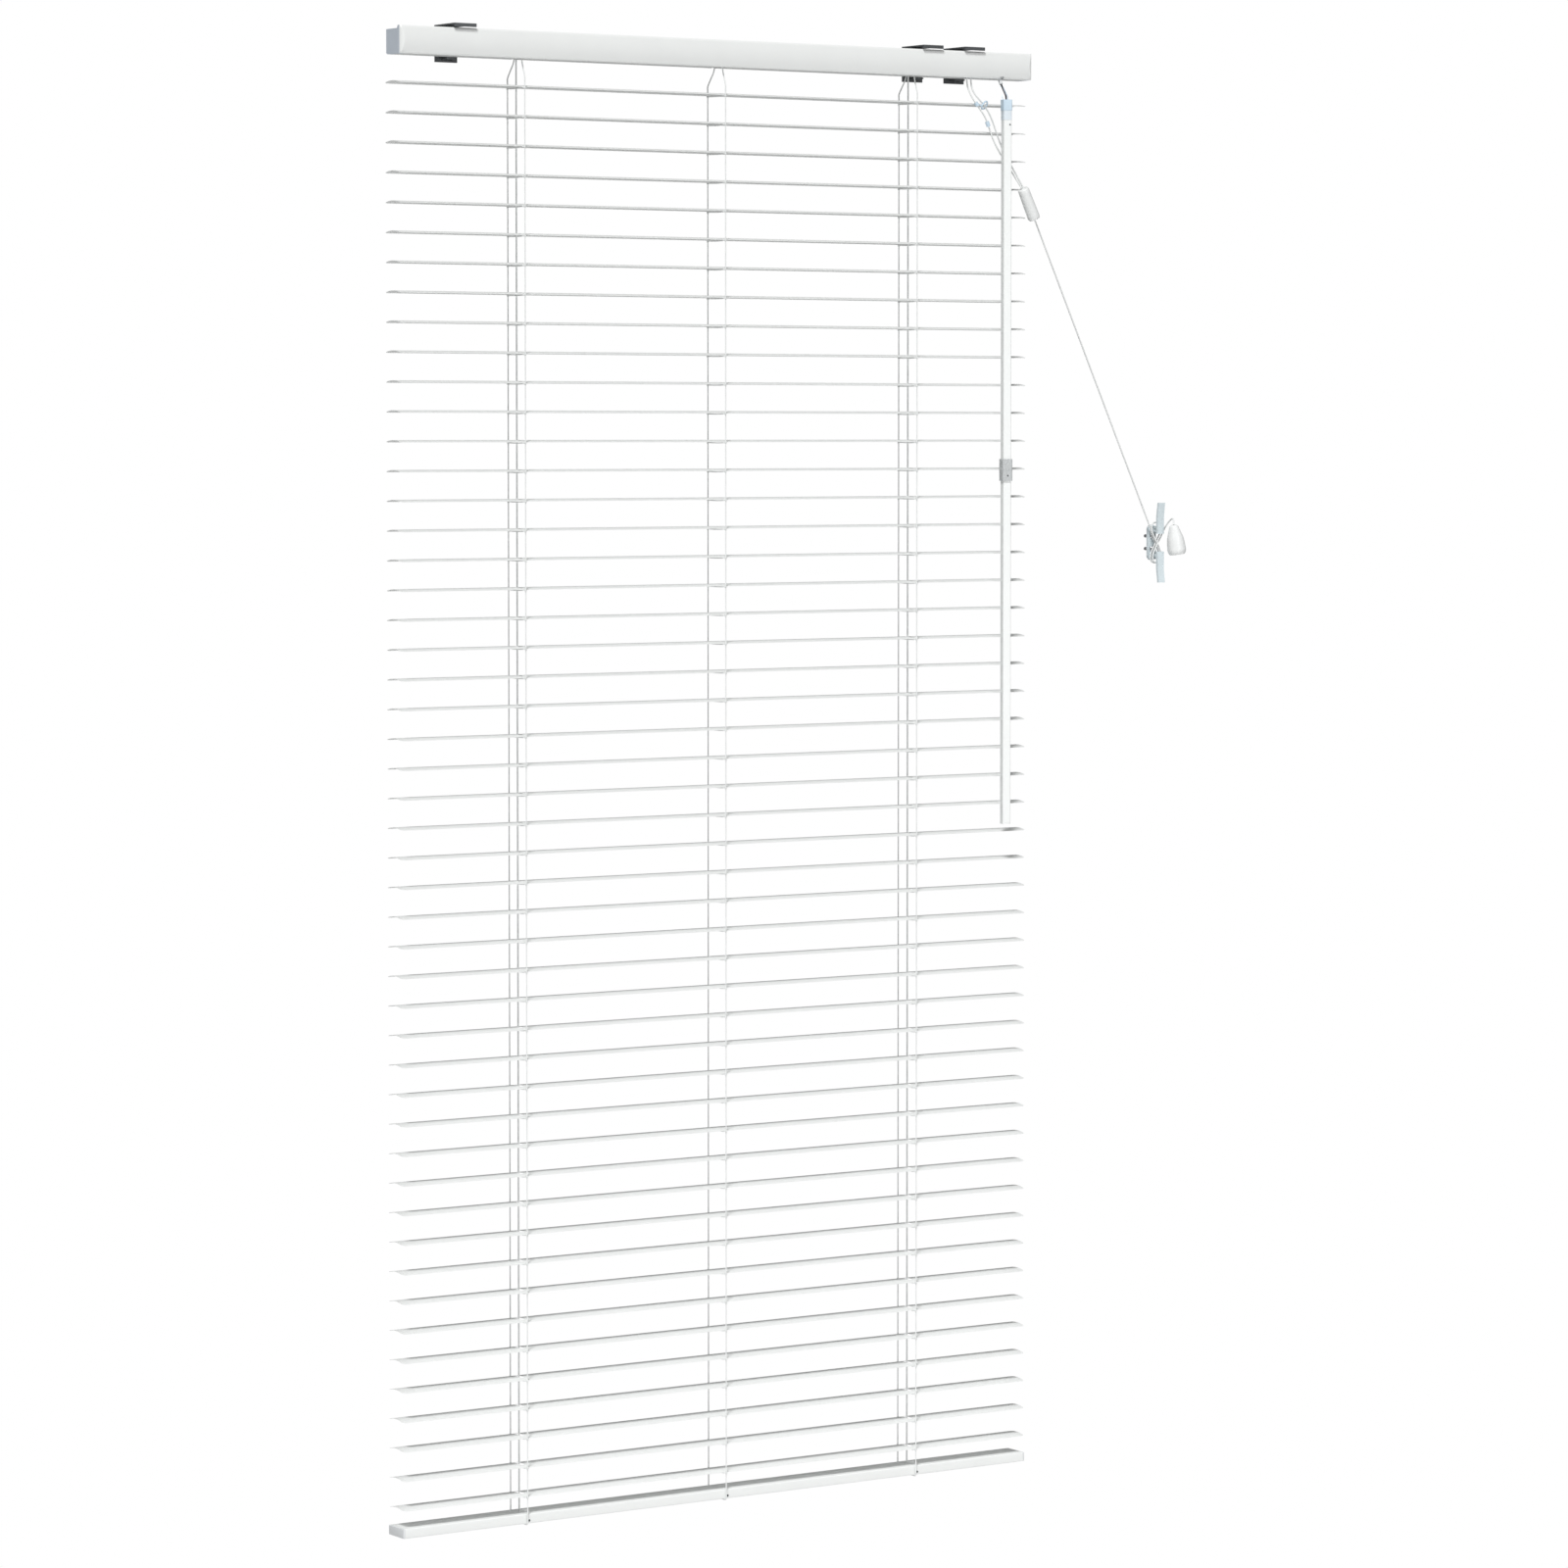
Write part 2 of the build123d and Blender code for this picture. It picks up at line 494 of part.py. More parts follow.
# =====================================================================  wall cleat and its screws
with BuildPart() as cord_cleat:
    with BuildSketch(Plane.XZ):
        with Locations((CLEAT_X, CLEAT_Z)):
            SlotOverall(32.0, 8.6, rotation=90)
        with Locations((CLEAT_X, CLEAT_Z + CLEAT_SCREW_PITCH / 2), (CLEAT_X, CLEAT_Z - CLEAT_SCREW_PITCH / 2)):
            Circle(1.6, mode=Mode.SUBTRACT)
    extrude(amount=3.0)
    for s in (1, -1):
        # post, then the horn that sweeps up (or down) and slightly outwards
        with BuildSketch(Plane.YZ.offset(CLEAT_X - 3.0)):
            with BuildLine():
                Polyline((-2.0, CLEAT_Z + s * 10.1), (-13.4, CLEAT_Z + s * 10.1), (-13.4, CLEAT_Z + s * 14.9), (-2.0, CLEAT_Z + s * 14.9), close=True)
            make_face()
        extrude(amount=6.0)
        with BuildSketch(Plane.YZ.offset(CLEAT_X - 3.5)):
            with BuildLine():
                Polyline((-13.3, CLEAT_Z + s * 8.0), (-16.0, CLEAT_Z + s * 8.0), (-16.0, CLEAT_Z + s * 24.0), (-17.6, CLEAT_Z + s * 36.0), (-15.2, CLEAT_Z + s * 36.0), (-13.3, CLEAT_Z + s * 23.0), close=True)
            make_face()
        extrude(amount=7.0)
with BuildPart() as cleat_screws:
    for s in (1, -1):
        zs = CLEAT_Z + s * CLEAT_SCREW_PITCH / 2
        with BuildSketch(Plane(origin=(CLEAT_X, 0, zs), x_dir=(1, 0, 0), z_dir=(0, 0, 1))):
            with BuildLine():
                Polyline((0, -4.8), (2.0, -4.8), (2.9, -4.0), (2.9, -3.02), (1.5, -3.02), (1.5, 7.6), (0, 9.5), close=True)
            make_face()
        revolve(axis=Axis((CLEAT_X, 0, zs), (0, 1, 0)))
save_group("cord_cleat", cord_cleat, cleat_screws)
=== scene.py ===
import math
import random

import bmesh
import bpy
from mathutils import Matrix, Vector


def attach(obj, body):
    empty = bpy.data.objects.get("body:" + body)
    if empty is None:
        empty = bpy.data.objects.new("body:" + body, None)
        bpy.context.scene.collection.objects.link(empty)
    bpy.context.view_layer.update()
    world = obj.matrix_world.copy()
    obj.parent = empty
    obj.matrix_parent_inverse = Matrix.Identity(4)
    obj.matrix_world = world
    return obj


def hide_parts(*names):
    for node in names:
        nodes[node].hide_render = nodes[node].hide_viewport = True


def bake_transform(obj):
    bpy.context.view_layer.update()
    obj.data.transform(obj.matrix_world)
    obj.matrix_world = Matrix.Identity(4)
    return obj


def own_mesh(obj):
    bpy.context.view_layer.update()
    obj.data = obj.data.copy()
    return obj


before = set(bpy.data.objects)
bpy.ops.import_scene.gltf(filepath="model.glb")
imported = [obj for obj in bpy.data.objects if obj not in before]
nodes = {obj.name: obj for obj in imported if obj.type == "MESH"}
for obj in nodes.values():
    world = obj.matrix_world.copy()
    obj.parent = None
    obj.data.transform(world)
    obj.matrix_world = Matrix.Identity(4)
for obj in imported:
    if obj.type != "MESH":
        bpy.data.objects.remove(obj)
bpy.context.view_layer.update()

MM = 0.001

# ---------------------------------------------------------------- measures (millimetres, as in the frame)
SLATS = 49
PITCH = 24.6
FIRST_Z = -34.5
LINE_Y = -15.5
LADDER_X = (-199.0, 0.0, 199.0)
LADDER_HALF = 14.0
RAIL_TOP = -1232.0
WAND_X, WAND_Y, WAND_TURN = 288.5, -38.0, math.radians(-14.0)
CLEAT = Vector((477.4, 0.0, -422.8))


# ---------------------------------------------------------------- materials
def new_material(name, base, spread, rough, rough_spread=0.06, grain=600.0, bump=0.06, bump_mm=0.02, metallic=0.0, coat=0.0, coat_rough=0.2, transmission=0.0, ior=1.46, specular=0.5, blotch=35.0, subsurface=0.0):
    m = bpy.data.materials.new(name)
    m.use_nodes = True
    nt = m.node_tree
    p = nt.nodes["Principled BSDF"]
    p.inputs["Metallic"].default_value = metallic
    p.inputs["Coat Weight"].default_value = coat
    p.inputs["Coat Roughness"].default_value = coat_rough
    p.inputs["Transmission Weight"].default_value = transmission
    p.inputs["IOR"].default_value = ior
    p.inputs["Specular IOR Level"].default_value = specular
    if subsurface:
        p.inputs["Subsurface Weight"].default_value = subsurface
        p.inputs["Subsurface Radius"].default_value = (0.6, 0.6, 0.65)
        p.inputs["Subsurface Scale"].default_value = 0.002
    coords = nt.nodes.new("ShaderNodeTexCoord")
    wide = nt.nodes.new("ShaderNodeTexNoise")
    wide.inputs["Scale"].default_value = blotch
    wide.inputs["Detail"].default_value = 4.0
    nt.links.new(coords.outputs["Object"], wide.inputs["Vector"])
    fine = nt.nodes.new("ShaderNodeTexNoise")
    fine.inputs["Scale"].default_value = grain
    fine.inputs["Detail"].default_value = 3.0
    nt.links.new(coords.outputs["Object"], fine.inputs["Vector"])
    ramp = nt.nodes.new("ShaderNodeValToRGB")
    ramp.color_ramp.elements[0].position = 0.3
    ramp.color_ramp.elements[1].position = 0.7
    ramp.color_ramp.elements[0].color = (*[c * (1 - spread) for c in base], 1)
    ramp.color_ramp.elements[1].color = (*[min(1, c * (1 + spread)) for c in base], 1)
    nt.links.new(wide.outputs["Fac"], ramp.inputs["Fac"])
    nt.links.new(ramp.outputs["Color"], p.inputs["Base Color"])
    spans = nt.nodes.new("ShaderNodeMapRange")
    spans.inputs["To Min"].default_value = max(0.02, rough - rough_spread)
    spans.inputs["To Max"].default_value = min(1.0, rough + rough_spread)
    nt.links.new(fine.outputs["Fac"], spans.inputs["Value"])
    nt.links.new(spans.outputs["Result"], p.inputs["Roughness"])
    b = nt.nodes.new("ShaderNodeBump")
    b.inputs["Strength"].default_value = bump
    b.inputs["Distance"].default_value = bump_mm * MM
    nt.links.new(fine.outputs["Fac"], b.inputs["Height"])
    nt.links.new(b.outputs["Normal"], p.inputs["Normal"])
    return m


def braided(name, base, spread, period_mm=0.9, strength=0.7):
    """Braided cord: two crossing sets of strands, in relief."""
    m = new_material(name, base, spread, 0.75, 0.1, grain=2500, bump=0.12, bump_mm=0.03, blotch=120)
    nt = m.node_tree
    p = nt.nodes["Principled BSDF"]
    p.inputs["Sheen Weight"].default_value = 0.25
    p.inputs["Sheen Roughness"].default_value = 0.5
    coords = nt.nodes.new("ShaderNodeTexCoord")
    waves = []
    for turn in (0.7, -0.7):
        mapping = nt.nodes.new("ShaderNodeMapping")
        mapping.inputs["Rotation"].default_value = (turn, turn, 0.4)
        nt.links.new(coords.outputs["Object"], mapping.inputs["Vector"])
        wave = nt.nodes.new("ShaderNodeTexWave")
        wave.wave_type = "BANDS"
        wave.bands_direction = "Z"
        wave.inputs["Scale"].default_value = 0.314 / (period_mm * MM)
        wave.inputs["Distortion"].default_value = 0.4
        nt.links.new(mapping.outputs["Vector"], wave.inputs["Vector"])
        waves.append(wave)
    both = nt.nodes.new("ShaderNodeMath")
    both.operation = "MAXIMUM"
    nt.links.new(waves[0].outputs["Fac"], both.inputs[0])
    nt.links.new(waves[1].outputs["Fac"], both.inputs[1])
    b = nt.nodes.new("ShaderNodeBump")
    b.inputs["Strength"].default_value = strength
    b.inputs["Distance"].default_value = 0.12 * MM
    nt.links.new(both.outputs["Value"], b.inputs["Height"])
    old = [n for n in nt.nodes if n.type == "BUMP" and n != b][0]
    nt.links.new(b.outputs["Normal"], old.inputs["Normal"])
    return m


def drawn_metal(name, base, rough, along="X"):
    """Drawn or rolled steel: long faint lines along the piece."""
    m = new_material(name, base, 0.08, rough, 0.08, grain=900, bump=0.05, bump_mm=0.02, metallic=1.0, blotch=60)
    nt = m.node_tree
    p = nt.nodes["Principled BSDF"]
    coords = nt.nodes.new("ShaderNodeTexCoord")
    mapping = nt.nodes.new("ShaderNodeMapping")
    mapping.inputs["Scale"].default_value = (12, 900, 900) if along == "X" else (900, 900, 12)
    nt.links.new(coords.outputs["Object"], mapping.inputs["Vector"])
    lines = nt.nodes.new("ShaderNodeTexNoise")
    lines.inputs["Scale"].default_value = 1.0
    lines.inputs["Detail"].default_value = 2.0
    nt.links.new(mapping.outputs["Vector"], lines.inputs["Vector"])
    b = nt.nodes.new("ShaderNodeBump")
    b.inputs["Strength"].default_value = 0.15
    b.inputs["Distance"].default_value = 0.02 * MM
    nt.links.new(lines.outputs["Fac"], b.inputs["Height"])
    old = [n for n in nt.nodes if n.type == "BUMP" and n != b][0]
    nt.links.new(b.outputs["Normal"], old.inputs["Normal"])
    return m


def slat_paint(name):
    """Roller-painted aluminium strip: a satin coat, faint lines along the strip and small specks."""
    m = new_material(name, (0.845, 0.858, 0.85), 0.012, 0.34, 0.05, grain=1400, bump=0.05, bump_mm=0.012, coat=0.15, coat_rough=0.25, blotch=18)
    nt = m.node_tree
    coords = nt.nodes.new("ShaderNodeTexCoord")
    mapping = nt.nodes.new("ShaderNodeMapping")
    mapping.inputs["Scale"].default_value = (5, 700, 700)
    nt.links.new(coords.outputs["Object"], mapping.inputs["Vector"])
    lines = nt.nodes.new("ShaderNodeTexNoise")
    lines.inputs["Scale"].default_value = 1.0
    nt.links.new(mapping.outputs["Vector"], lines.inputs["Vector"])
    b = nt.nodes.new("ShaderNodeBump")
    b.inputs["Strength"].default_value = 0.1
    b.inputs["Distance"].default_value = 0.015 * MM
    nt.links.new(lines.outputs["Fac"], b.inputs["Height"])
    old = [n for n in nt.nodes if n.type == "BUMP" and n != b][0]
    nt.links.new(b.outputs["Normal"], old.inputs["Normal"])
    return m


M_SLAT = slat_paint("slat_paint")
M_RAIL = new_material("rail_paint", (0.87, 0.885, 0.875), 0.01, 0.36, 0.06, grain=1100, bump=0.12, bump_mm=0.02, coat=0.2, coat_rough=0.3)
M_CAP = new_material("cap_plastic", (0.57, 0.625, 0.69), 0.03, 0.45, 0.07, grain=900, bump=0.08, bump_mm=0.02)
M_FIT = new_material("fitting_plastic", (0.72, 0.74, 0.75), 0.03, 0.45, 0.07, grain=900, bump=0.12, bump_mm=0.03)
M_BRACKET = new_material("bracket_steel", (0.10, 0.106, 0.112), 0.12, 0.5, 0.08, grain=700, bump=0.2, bump_mm=0.03, metallic=0.35, coat=0.1)
M_ROD = drawn_metal("rod_steel", (0.55, 0.56, 0.58), 0.32)
M_WIRE = drawn_metal("wire_steel", (0.09, 0.09, 0.10), 0.38, "Z")
M_WAND = new_material("wand_plastic", (0.89, 0.91, 0.90), 0.012, 0.3, 0.05, grain=500, bump=0.04, bump_mm=0.01, coat=0.25, coat_rough=0.2)
M_CLEAR = new_material("clear_plastic", (0.66, 0.81, 0.93), 0.015, 0.2, 0.03, grain=250, bump=0.03, bump_mm=0.01, transmission=0.1, ior=1.42)
M_CLEAR_PALE = new_material("clear_plastic_pale", (0.78, 0.87, 0.905), 0.015, 0.2, 0.03, grain=250, bump=0.03, bump_mm=0.01, transmission=0.1, ior=1.42)
M_SKIRT = new_material("clear_plastic_skirt", (0.80, 0.88, 0.94), 0.015, 0.2, 0.03, grain=250, bump=0.03, bump_mm=0.01, transmission=0.1, ior=1.42)
M_SLEEVE = new_material("sleeve_plastic", (0.66, 0.685, 0.69), 0.025, 0.28, 0.05, grain=500, bump=0.06, bump_mm=0.02, transmission=0.25, ior=1.47)
M_PULL = new_material("pull_plastic", (0.88, 0.895, 0.89), 0.012, 0.3, 0.05, grain=300, bump=0.03, bump_mm=0.01, coat=0.2)
M_DARK = new_material("dark_pin", (0.05, 0.055, 0.06), 0.1, 0.4, 0.08, grain=900, bump=0.1, bump_mm=0.02)
M_CORD = braided("cord_braid", (0.80, 0.815, 0.81), 0.03, 0.9, 0.35)
M_LADDER = braided("ladder_braid", (0.80, 0.815, 0.81), 0.03, 0.7, 0.3)


# ---------------------------------------------------------------- mesh helpers
def place(obj, material, body, replaced=()):
    if obj.name not in bpy.context.scene.collection.objects:
        bpy.context.scene.collection.objects.link(obj)
    obj.data.materials.clear()
    obj.data.materials.append(material)
    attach(obj, body)
    if replaced:
        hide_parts(*replaced)
    return obj


def mesh_object(name, bm, sharp=32.0, smooth=True):
    me = bpy.data.meshes.new(name)
    bmesh.ops.recalc_face_normals(bm, faces=bm.faces)
    bm.to_mesh(me)
    bm.free()
    if smooth:
        me.shade_smooth()
        me.set_sharp_from_angle(angle=math.radians(sharp))
    else:
        me.shade_flat()
    o = bpy.data.objects.new(name, me)
    bpy.context.scene.collection.objects.link(o)
    return o


def apply_modifier(o, kind, **values):
    mod = o.modifiers.new(kind.lower(), kind)
    for k, v in values.items():
        setattr(mod, k, v)
    dg = bpy.context.evaluated_depsgraph_get()
    me = bpy.data.meshes.new_from_object(o.evaluated_get(dg))
    me.name = o.name
    o.modifiers.clear()
    o.data = me
    return o


def components(node):
    """The separate solids of a CAD node, as bmesh copies with their boxes in millimetres."""
    bm = bmesh.new()
    bm.from_mesh(nodes[node].data)
    bmesh.ops.remove_doubles(bm, verts=bm.verts, dist=2e-6)
    bm.verts.ensure_lookup_table()
    seen, groups = set(), []
    for v in bm.verts:
        if v.index in seen:
            continue
        stack, group = [v], []
        seen.add(v.index)
        while stack:
            a = stack.pop()
            group.append(a.index)
            for e in a.link_edges:
                b = e.other_vert(a)
                if b.index not in seen:
                    seen.add(b.index)
                    stack.append(b)
        groups.append(set(group))
    out = []
    for g in groups:
        part = bm.copy()
        part.verts.ensure_lookup_table()
        bmesh.ops.delete(part, geom=[v for v in part.verts if v.index not in g], context="VERTS")
        lo = [min(v.co[i] for v in part.verts) * 1000 for i in range(3)]
        hi = [max(v.co[i] for v in part.verts) * 1000 for i in range(3)]
        out.append((part, lo, hi))
    bm.free()
    return out


def split(node, body, wanted, sharp=32.0):
    """One piece per entry of wanted: name -> (centre in mm, material, slot). A solid goes to the nearest centre."""
    made = {}
    for part, lo, hi in components(node):
        c = [(a + b) / 2 for a, b in zip(lo, hi)]
        name = min(wanted, key=lambda n: sum((c[i] - wanted[n][0][i]) ** 2 for i in range(3)))
        if wanted[name][1] is None:
            part.free()
            continue
        made.setdefault(name, []).append(part)
    pieces = {}
    for name, parts in made.items():
        whole = bmesh.new()
        for part in parts:
            tmp = bpy.data.meshes.new("tmp")
            part.to_mesh(tmp)
            whole.from_mesh(tmp)
            bpy.data.meshes.remove(tmp)
            part.free()
        me = bpy.data.meshes.new(name)
        whole.to_mesh(me)
        whole.free()
        me.shade_smooth()
        me.set_sharp_from_angle(angle=math.radians(sharp))
        o = bpy.data.objects.new(name, me)
        bpy.context.scene.collection.objects.link(o)
        apply_modifier(o, "WEIGHTED_NORMAL", mode="FACE_AREA_WITH_ANGLE", keep_sharp=True)
        pieces[name] = place(o, wanted[name][1], body, (node,))
    return pieces


def soften(o, width_mm, angle=35.0, segments=2):
    """Small rounded edges, as moulded and folded parts have."""
    bm = bmesh.new()
    bm.from_mesh(o.data)
    bmesh.ops.remove_doubles(bm, verts=bm.verts, dist=2e-6)
    bmesh.ops.dissolve_limit(bm, angle_limit=math.radians(1.0), verts=bm.verts, edges=bm.edges)
    bm.to_mesh(o.data)
    bm.free()
    apply_modifier(o, "BEVEL", width=width_mm * MM, segments=segments, limit_method="ANGLE", angle_limit=math.radians(angle), use_clamp_overlap=True)
    o.data.shade_smooth()
    o.data.set_sharp_from_angle(angle=math.radians(40))
    return o


def add_tube(bm, pts, r, sides=8, caps=True):
    """A round tube along points in millimetres; r is one radius or one for each point."""
    pts = [Vector(p) for p in pts]
    radii = r if hasattr(r, "__len__") else [r] * len(pts)
    t0 = (pts[1] - pts[0]).normalized()
    n = t0.orthogonal().normalized()
    rings = []
    for i, p in enumerate(pts):
        a = pts[max(0, i - 1)]
        b = pts[min(len(pts) - 1, i + 1)]
        t = (b - a).normalized()
        n = (n - t * n.dot(t)).normalized()
        m = t.cross(n)
        rings.append([bm.verts.new((p + (n * math.cos(2 * math.pi * k / sides) + m * math.sin(2 * math.pi * k / sides)) * radii[i]) * MM) for k in range(sides)])
    for a, b in zip(rings, rings[1:]):
        for k in range(sides):
            bm.faces.new((a[k], a[(k + 1) % sides], b[(k + 1) % sides], b[k]))
    if caps:
        bm.faces.new(list(reversed(rings[0])))
        bm.faces.new(rings[-1])


def smooth_path(pts, steps=6):
    """A Catmull-Rom line through the points."""
    p = [Vector(q) for q in pts]
    p = [p[0] * 2 - p[1]] + p + [p[-1] * 2 - p[-2]]
    out = []
    for i in range(1, len(p) - 2):
        for s in range(steps):
            t = s / steps
            out.append(0.5 * ((2 * p[i]) + (p[i + 1] - p[i - 1]) * t + (2 * p[i - 1] - 5 * p[i] + 4 * p[i + 1] - p[i + 2]) * t * t + (3 * p[i] - p[i - 1] - 3 * p[i + 1] + p[i + 2]) * t ** 3))
    out.append(p[-2])
    return out


def add_lathe(bm, profile, centre, axis, sides=32):
    """A closed turned solid: profile is (distance along the axis, radius), in millimetres."""
    c, a = Vector(centre), Vector(axis).normalized()
    n = a.orthogonal().normalized()
    m = a.cross(n)
    rings = []
    for h, r in profile:
        if r <= 0:
            rings.append([bm.verts.new((c + a * h) * MM)])
        else:
            rings.append([bm.verts.new((c + a * h + (n * math.cos(2 * math.pi * k / sides) + m * math.sin(2 * math.pi * k / sides)) * r) * MM) for k in range(sides)])
    for p, q in zip(rings, rings[1:]):
        for k in range(sides):
            j = (k + 1) % sides
            if len(p) == 1 and len(q) == 1:
                continue
            if len(p) == 1:
                bm.faces.new((p[0], q[j], q[k]))
            elif len(q) == 1:
                bm.faces.new((p[k], p[j], q[0]))
            else:
                bm.faces.new((p[k], p[j], q[j], q[k]))


def add_prism(bm, outline, place_point, low, high):
    """A prism: outline points (a, b) carried by place_point(a, b, h) at heights low and high, in millimetres."""
    r0 = [bm.verts.new(place_point(a, b, low) * MM) for a, b in outline]
    r1 = [bm.verts.new(place_point(a, b, high) * MM) for a, b in outline]
    n = len(outline)
    for k in range(n):
        bm.faces.new((r0[k], r0[(k + 1) % n], r1[(k + 1) % n], r1[k]))
    bm.faces.new(list(reversed(r0)))
    bm.faces.new(r1)


def rounded(half_a, half_b, r, steps=5):
    pts = []
    for ca, cb, start in ((half_a - r, half_b - r, 0), (-half_a + r, half_b - r, 90), (-half_a + r, -half_b + r, 180), (half_a - r, -half_b + r, 270)):
        for s in range(steps + 1):
            t = math.radians(start + 90 * s / steps)
            pts.append((ca + r * math.cos(t), cb + r * math.sin(t)))
    return pts


# ---------------------------------------------------------------- camera
cam = bpy.data.cameras.new("camera")
cam.sensor_width = 36.0
cam.sensor_fit = "HORIZONTAL"
cam.lens = 36.0 * 5689.88 / 1600.0
cam.shift_x = 0.0
cam.shift_y = -100.0 / 1600.0
cam.clip_start, cam.clip_end = 0.05, 60.0
camera = bpy.data.objects.new("camera", cam)
bpy.context.scene.collection.objects.link(camera)
yaw, pitch = math.radians(33.617), math.radians(2.594)
aim = Vector((math.sin(yaw) * math.cos(pitch), math.cos(yaw) * math.cos(pitch), -math.sin(pitch)))
camera.location = (-2.59464, -4.02194, -0.32421)
camera.rotation_mode = "QUATERNION"
camera.rotation_quaternion = aim.to_track_quat("-Z", "Y")
bpy.context.scene.camera = camera

# ---------------------------------------------------------------- free cords
def cord_curve(name, pts, material):
    cu = bpy.data.curves.new(name, "CURVE")
    cu.dimensions = "3D"
    sp = cu.splines.new("NURBS")
    sp.points.add(len(pts) - 1)
    for q, p in zip(sp.points, pts):
        q.co = (p[0] * MM, p[1] * MM, p[2] * MM, 1.0)
    sp.order_u = 3
    sp.use_endpoint_u = True
    sp.resolution_u = 8
    cu.bevel_depth = 0.7 * MM
    cu.bevel_resolution = 3
    cu.use_fill_caps = True
    o = bpy.data.objects.new(name, cu)
    return place(o, material, "headrail", ("pull_cord",))


def line_length(o):
    cu = o.data.copy()
    cu.bevel_depth = 0
    tmp = bpy.data.objects.new("tmp", cu)
    bpy.context.scene.collection.objects.link(tmp)
    dg = bpy.context.evaluated_depsgraph_get()
    me = bpy.data.meshes.new_from_object(tmp.evaluated_get(dg))
    total = sum((me.vertices[e.vertices[0]].co - me.vertices[e.vertices[1]].co).length for e in me.edges)
    bpy.data.objects.remove(tmp)
    bpy.data.meshes.remove(me)
    return total


pull_a = [(258.4, -26.4, -13.6), (258.4, -26.4, -18.6), (259.8, -28.3, -25.6), (263.4, -30.7, -31.2), (269.3, -31.6, -36.6), (276.6, -31.7, -46.9), (282.3, -31.2, -59.7), (288.3, -30.8, -72.5), (296.1, -30.9, -85.0), (303.6, -32.7, -97.2), (309.9, -34.6, -108.6)]
pull_b = [(254.8, -25.4, -13.6), (254.8, -25.4, -18.6), (255.9, -27.6, -25.5), (258.6, -30.0, -32.4), (264.4, -31.1, -39.6), (271.1, -31.3, -47.8), (275.5, -30.9, -58.2), (280.8, -30.8, -69.4), (288.4, -30.8, -80.6), (297.7, -31.0, -92.0), (302.9, -32.9, -100.6), (308.2, -35.0, -109.2)]
cx, cz = CLEAT.x, CLEAT.z
single = [(322.1, -33.8, -134.9), (467.9, -7.5, -401.4), (472.0, -7.0, -408.9), (473.4, -6.8, -414.4), (477.6, -6.6, -422.4)]
for y, last in ((-6.6, False), (-9.9, True)):
    for dx, dz, dy in ((4.6, -8.6, 0.0), (5.4, -12.8, -0.1), (4.6, -17.2, -0.2), (0.0, -18.6, -0.4), (-4.6, -17.2, -0.6), (-5.4, -12.8, -0.8), (-4.6, -8.6, -1.1), (0.0, 0.0, -1.6)):
        single.append((cx + dx, y + dy, cz + dz))
    if not last:
        for dx, dz, dy in ((4.6, 8.6, -1.9), (5.4, 12.8, -2.0), (4.6, 17.2, -2.1), (0.0, 18.6, -2.2), (-4.6, 17.2, -2.3), (-5.4, 12.8, -2.5), (-4.6, 8.6, -2.8), (0.0, 0.0, -3.2)):
            single.append((cx + dx, y + dy, cz + dz))
single += [(481.6, -11.8, -415.4), (484.2, -11.8, -410.6), (487.2, -12.8, -405.4), (488.2, -18.0, -401.0), (486.4, -23.2, -401.6), (484.6, -25.3, -406.6)]

cord_a = cord_curve("pull_cord_a", pull_a, M_CORD)
cord_b = cord_curve("pull_cord_b", pull_b, M_CORD)
cord_single = cord_curve("pull_cord_single", single, M_CORD)
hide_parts("pull_cord_winding")

pulls = split("cord_pulls", "headrail", {
    "cord_joiner": ((266.2, -31.6, -36.7), M_CLEAR, "clear_plastic"),
    "cord_bead": ((273.3, -31.1, -53.0), M_CLEAR, "clear_plastic"),
    "condenser": ((315.8, -34.1, -122.2), M_PULL, "pull_plastic"),
    "tassel": ((487.8, -25.3, -420.4), M_PULL, "pull_plastic"),
})
lengths = {n: line_length(o) for n, o in (("a", cord_a), ("b", cord_b), ("single", cord_single))}
print("CORD LENGTHS", {k: round(v, 4) for k, v in lengths.items()})

# ---------------------------------------------------------------- CAD nodes that stay, with their finish
def finish_node(node, material):
    data = nodes[node].data
    if not data.materials:
        data.materials.append(material)
    for s in nodes[node].material_slots:
        s.material = material


finish_node("headrail", M_RAIL)
for i in range(1, SLATS + 1):
    finish_node("slat_%02d" % i, M_SLAT)

# ---------------------------------------------------------------- hardware, piece by piece
brackets = split("mounting_brackets", "headrail", {
    "bracket_left": ((-258, -17, -2), M_BRACKET, "bracket_steel"),
    "bracket_inner": ((213.5, -17, -2), M_BRACKET, "bracket_steel"),
    "bracket_right": ((258, -17, -2), M_BRACKET, "bracket_steel"),
}, 18.0)
fittings = split("headrail_fittings", "headrail", {
    "end_cap_left": ((-312.5, -20.5, -1.5), None, ""),
    "end_cap_right": ((315, -20.5, -1.5), None, ""),
    "cradle_left": ((-199, -20, -4), M_FIT, "fitting_plastic"),
    "cradle_middle": ((0, -20, -4), M_FIT, "fitting_plastic"),
    "cradle_right": ((199, -20, -4), M_FIT, "fitting_plastic"),
    "cord_lock": ((253, -20, -9.3), M_FIT, "fitting_plastic"),
    "lock_roller": ((253.9, -22, -8.9), M_ROD, "rod_steel"),
    "tilter_housing": ((288.5, -20.2, -2.9), M_FIT, "fitting_plastic"),
    "tilter_stem": ((288.5, -27.2, -13.1), M_FIT, "fitting_plastic"),
    "wand_hook": ((288.5, -34.2, -25.6), M_WIRE, "rod_steel"),
})

